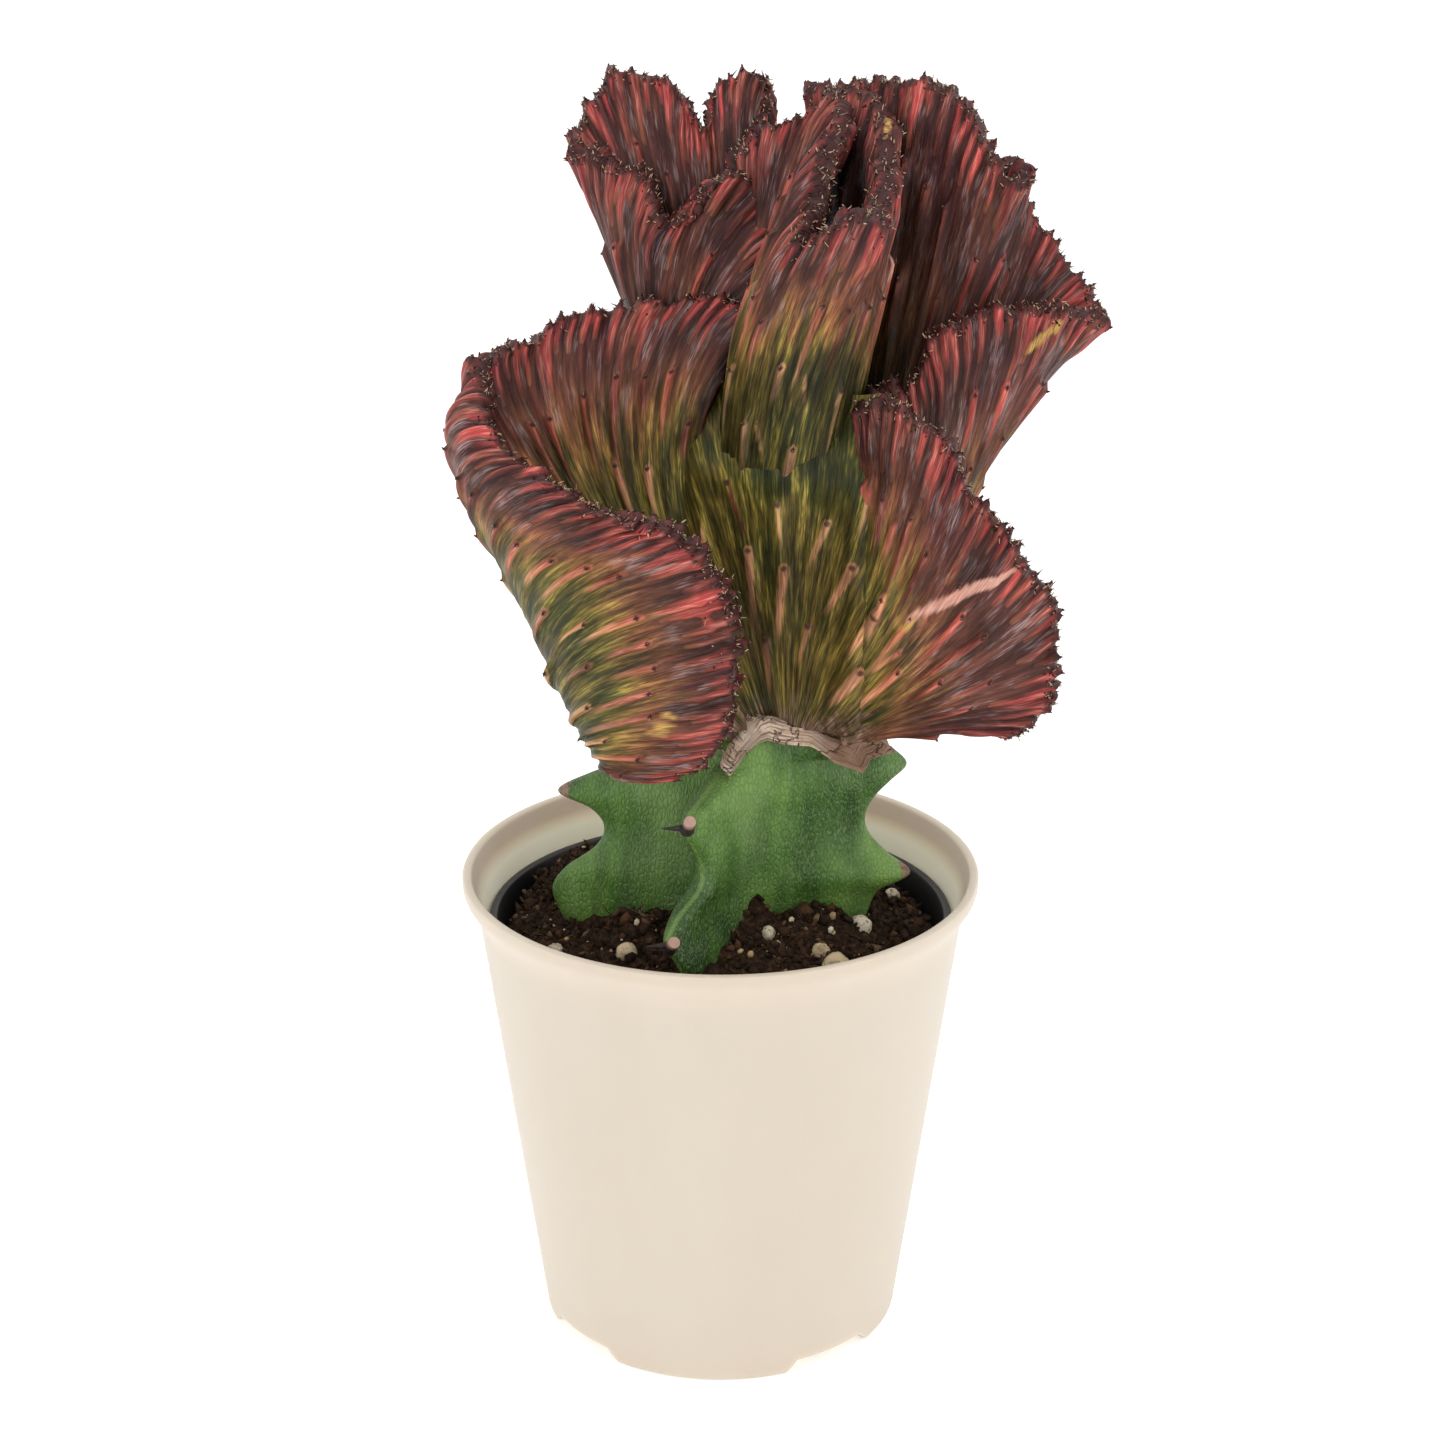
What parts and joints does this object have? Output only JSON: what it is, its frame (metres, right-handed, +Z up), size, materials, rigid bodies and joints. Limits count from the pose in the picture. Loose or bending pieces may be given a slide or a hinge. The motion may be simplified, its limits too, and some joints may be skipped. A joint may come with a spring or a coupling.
{
  "type": "potted coral cactus",
  "caption": "Grafted crested coral cactus: a fan-folded crest on a winged green rootstock, potted in soil inside a round cream plastic pot.",
  "frame": {"origin": "centre of the pot's underside, on the surface that the pot stands on", "axes": "+Z up along the axis of the pot, -Y towards the side that the picture shows, +X to the right of that view"},
  "size_m": [0.1856, 0.152, 0.3678],
  "materials": {
    "outer_pot": "satin cream plastic",
    "nursery_pot": "matt black plastic",
    "soil": "dark crumbly peat and bark",
    "perlite": "rough pale grains",
    "rootstock": "waxy green plant skin",
    "graft_collar": "dry corky callus",
    "crest": "ribbed maroon and green plant skin"
  },
  "bodies": {
    "root": {"outer_pot": "outer_pot", "nursery_pot": "nursery_pot", "soil": "soil", "rootstock": "rootstock", "graft_collar": "graft_collar", "crest": "crest", "perlite_01": "perlite", "perlite_02": "perlite", "perlite_03": "perlite", "perlite_04": "perlite", "perlite_05": "perlite", "perlite_06": "perlite", "perlite_07": "perlite", "perlite_08": "perlite", "perlite_09": "perlite", "perlite_10": "perlite", "perlite_11": "perlite", "perlite_12": "perlite"}
  },
  "joints": []
}
